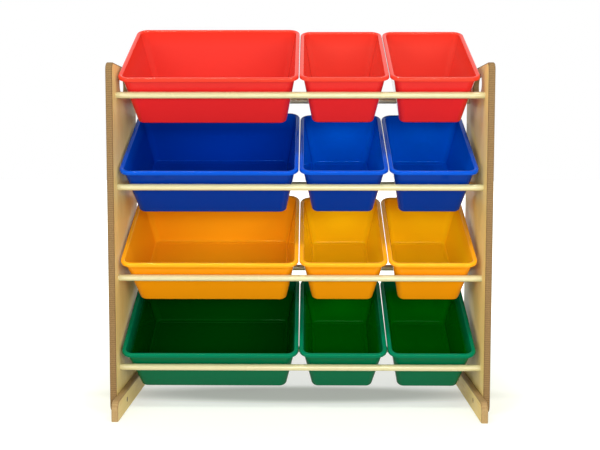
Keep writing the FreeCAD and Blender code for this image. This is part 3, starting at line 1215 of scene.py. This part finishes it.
    def mark_depths(self, tub: Piece, kind: BinKind, middle: float) -> None:
        """Write how deep inside the bin each corner lies, and which faces are its outer walls, as
        the masks of the painted shade and light.

        Args:
            tub: The bin in its own frame.
            kind: The kind of bin.
            middle: The mouth's middle along the length.
        """
        target = Vector((0, middle, 0.9 * kind.height))  # in the mouth, where inner faces look
        mesh = tub.data
        # mask of the painted shade and light inside the bin
        depth = mesh.attributes.new(INTERIOR_SHADING, "FLOAT", "CORNER")
        # mask of the painted shade on the outer walls
        wall = mesh.attributes.new(WALL_SHADING, "FLOAT", "FACE")
        for face in mesh.polygons:
            looks_in = face.normal.dot(target - face.center) > 0
            under_rim = face.center.z <= kind.height - self.rim_drop
            wall.data[face.index].value = 1 if under_rim and not looks_in else 0
            for corner in face.loop_indices:
                below = kind.height - mesh.vertices[mesh.loops[corner].vertex_index].co.z
                depth.data[corner].value = below / kind.height if looks_in else 0

    def copy_to(self, master: Piece, kind: BinKind, node: str) -> Piece:
        """Copy a bin to a node's place, worked out from the node's box and the bin's tilt.

        Args:
            master: The bin in its own frame.
            kind: The kind of bin.
            node: The node that the copy stands for.

        Returns:
            The copy, with its place in its mesh.
        """
        low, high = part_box(node)
        turn_sin, turn_cos = math.sin(kind.tilt), math.cos(kind.tilt)
        middle = self.spans(kind, kind.height)[2]
        front, rear = middle - self.rim_length / 2, middle + self.rim_length / 2
        bend = self.cad_rim_round
        edge_z = high.z - ((rear - bend) * turn_sin + (kind.height - bend) * turn_cos + bend)
        edge_y = low.y - ((front + bend) * turn_cos - (kind.height - bend) * turn_sin - bend)
        move = Matrix.Translation(((low.x + high.x) / 2, edge_y, edge_z))
        place = move @ Matrix.Rotation(kind.tilt, 4, "X")
        return copy_piece(master, node.replace("bin", "tub"), place)


# ---- studio ---------------------------------------------------------------------------------


@dataclass(frozen=True)
class Lamp:
    """A rectangular area lamp: where it hangs, what it faces, its size and its power in watts."""

    name: str
    place: tuple[float, float, float]
    target: tuple[float, float, float]
    size: tuple[float, float]
    power: float

    def hang(self) -> None:
        """Put the lamp in the scene."""
        data = bpy.data.lights.new(self.name, "AREA")
        data.shape = "RECTANGLE"
        data.size, data.size_y = self.size
        data.energy = self.power
        lamp = bpy.data.objects.new(self.name, data)
        lamp.location = self.place
        way = Vector(self.target) - Vector(self.place)
        lamp.rotation_euler = way.to_track_quat("-Z", "Y").to_euler()
        bpy.context.scene.collection.objects.link(lamp)


LAMPS = (
    Lamp("left_softbox", (-1.4, -2.4, 0.7), (0, 0, 0.4), (1.1, 1.1), 20),
    Lamp("right_softbox", (1.4, -2.4, 0.7), (0, 0, 0.4), (1.1, 1.1), 19),
    Lamp("front_softbox", (0.25, -2.7, 0.75), (0.1, 0, 0.4), (1.0, 0.6), 22),
    Lamp("top_left_strip", (-0.6, -1.0, 2.6), (-0.2, 0, 0.5), (0.7, 0.2), 18),
    Lamp("top_right_strip", (0.7, -1.0, 2.6), (0.3, 0, 0.5), (0.4, 0.2), 11),
)


@dataclass(frozen=True)
class Ring:
    """A glow level on the floor that rises outwards round the object's shadow; low in the middle,
    it paints that shadow in.

    The half widths along X and Y are in metres. The reach, between which the level rises, is
    in those half widths.
    """

    radii: tuple[float, float]
    reach: tuple[float, float]
    levels: tuple[float, float]
    middle: float = 0.045

    def socket(self, tree: Tree, place: Socket) -> Socket:
        """Build the level in a node tree.

        Args:
            tree: The node tree.
            place: The floor's own coordinates.

        Returns:
            The socket of the level.
        """
        across, deep = self.radii
        shift, shrink = (0, -self.middle / deep, 0), (1 / across, 1 / deep, 1)
        centred = add_node(tree, "ShaderNodeMapping", Location=shift, Scale=shrink)
        tree.links.new(place, centred.inputs["Vector"])
        length = add_node(tree, "ShaderNodeVectorMath", operation="LENGTH")
        tree.links.new(centred.outputs["Vector"], length.inputs[0])
        names = ("From_Min", "From_Max", "To_Min", "To_Max")
        ends = dict(zip(names, (*self.reach, *self.levels)))
        rise = add_node(tree, "ShaderNodeMapRange", interpolation_type="SMOOTHSTEP", **ends)
        tree.links.new(length.outputs["Value"], rise.inputs["Value"])
        return rise.outputs["Result"]


@dataclass
class Studio:
    """The camera, the pale floor and the soft lights."""

    lens: float = 53.15
    position: tuple[float, float, float] = (0.0199, -2.0963, 0.5800)
    yaw: float = math.radians(0.568)
    pitch: float = math.radians(4.35)
    roll: float = math.radians(-0.058)
    floor_size: float = 40.0
    floor_roughness: float = 0.75
    floor_that_lights: Colour = (0.62, 0.62, 0.58)
    # its yellow-green tint is painted reflected light from the bins, on the floor that the camera
    # sees
    floor_seen: Colour = (0.52, 0.56, 0.46)
    # painted shadow: the glow that the camera sees stays low under the object
    painted_shadow_glow: Ring = Ring(radii=(0.62, 0.105), reach=(0.4, 0.95), levels=(0.2, 0.56))
    far_glow: Ring = Ring(radii=(0.55, 1.0), reach=(0.8, 1.5), levels=(0.0, 0.6))
    world_that_lights: float = 0.46
    world_seen: float = 1.0

    def build(self) -> None:
        """Set up the camera, the floor, the lamps and the world."""
        self.camera()
        self.floor()
        for lamp in LAMPS:
            lamp.hang()
        self.world()
        bpy.context.scene.view_settings.view_transform = "Standard"

    def camera(self) -> None:
        """Place the camera where the photograph was taken from."""
        data = bpy.data.cameras.new("camera")
        data.lens = self.lens
        camera = bpy.data.objects.new("camera", data)
        bpy.context.scene.collection.objects.link(camera)
        level_view = Matrix.Rotation(math.pi / 2, 4, "X")
        turn = Matrix.Rotation(self.yaw, 4, "Z") @ Matrix.Rotation(-self.pitch, 4, "X")
        roll = Matrix.Rotation(self.roll, 4, "Y")
        camera.matrix_world = Matrix.Translation(self.position) @ turn @ roll @ level_view
        bpy.context.scene.camera = camera

    def floor(self) -> None:
        """Lay the pale floor that takes the object's shadow, with a painted shadow in its glow and
        a painted yellow-green tint where the camera sees it.
        """
        bench = Bench("studio_floor").start(bpy.ops.mesh.primitive_plane_add, size=self.floor_size)
        bench.leave()
        material = bpy.data.materials.new("studio_floor")
        material.use_nodes = True
        tree = material.node_tree
        shader = tree.nodes["Principled BSDF"]
        shader.inputs["Roughness"].default_value = self.floor_roughness
        path = tree.nodes.new("ShaderNodeLightPath")
        seen = self.seen_directly(tree, path)
        # the floor that the camera sees carries the painted yellow-green tint
        pale = mix_colours(seen, self.floor_that_lights, self.floor_seen)
        tree.links.new(pale, shader.inputs["Base Color"])
        place = tree.nodes.new("ShaderNodeTexCoord").outputs["Object"]
        both = add_node(tree, "ShaderNodeMath", operation="ADD")
        # the near ring paints the object's shadow; the far ring whitens the far floor
        for ring, term in zip((self.painted_shadow_glow, self.far_glow), both.inputs):
            tree.links.new(ring.socket(tree, place), term)
        glow = add_node(tree, "ShaderNodeMath", operation="MULTIPLY")
        tree.links.new(seen, glow.inputs[0])
        tree.links.new(both.outputs[0], glow.inputs[1])
        shader.inputs["Emission Color"].default_value = (1, 1, 1, 1)
        tree.links.new(glow.outputs[0], shader.inputs["Emission Strength"])
        bench.piece.data.materials.append(material)

    @staticmethod
    def seen_directly(tree: Tree, path: Node) -> Socket:
        """Mask what the camera sees, directly, mirrored or through glass.

        Args:
            tree: The node tree.
            path: Its Light Path node.

        Returns:
            The socket of the mask.
        """
        mask = path.outputs["Is Camera Ray"]
        for kind in ("Is Glossy Ray", "Is Transmission Ray"):
            either = add_node(tree, "ShaderNodeMath", operation="MAXIMUM")
            tree.links.new(mask, either.inputs[0])
            tree.links.new(path.outputs[kind], either.inputs[1])
            mask = either.outputs[0]
        return mask

    def world(self) -> None:
        """Light the scene evenly and show white behind it."""
        world = bpy.data.worlds.new("studio")
        world.use_nodes = True
        bpy.context.scene.world = world
        tree = world.node_tree
        background = tree.nodes["Background"]
        background.inputs["Color"].default_value = (1, 1, 1, 1)
        path = tree.nodes.new("ShaderNodeLightPath")
        levels = {"To_Min": self.world_that_lights, "To_Max": self.world_seen}
        strength = add_node(tree, "ShaderNodeMapRange", **levels)
        tree.links.new(self.seen_directly(tree, path), strength.inputs["Value"])
        tree.links.new(strength.outputs["Result"], background.inputs["Strength"])


def main() -> None:
    """Build the dressed organizer and its studio."""
    logging.basicConfig(level=logging.INFO, format="%(name)s: %(message)s")
    groups = Groups()
    Studio().build()
    Boards().build(groups)
    Rods().build(groups)
    Bins().build(groups)


if __name__ == "__main__":
    main()
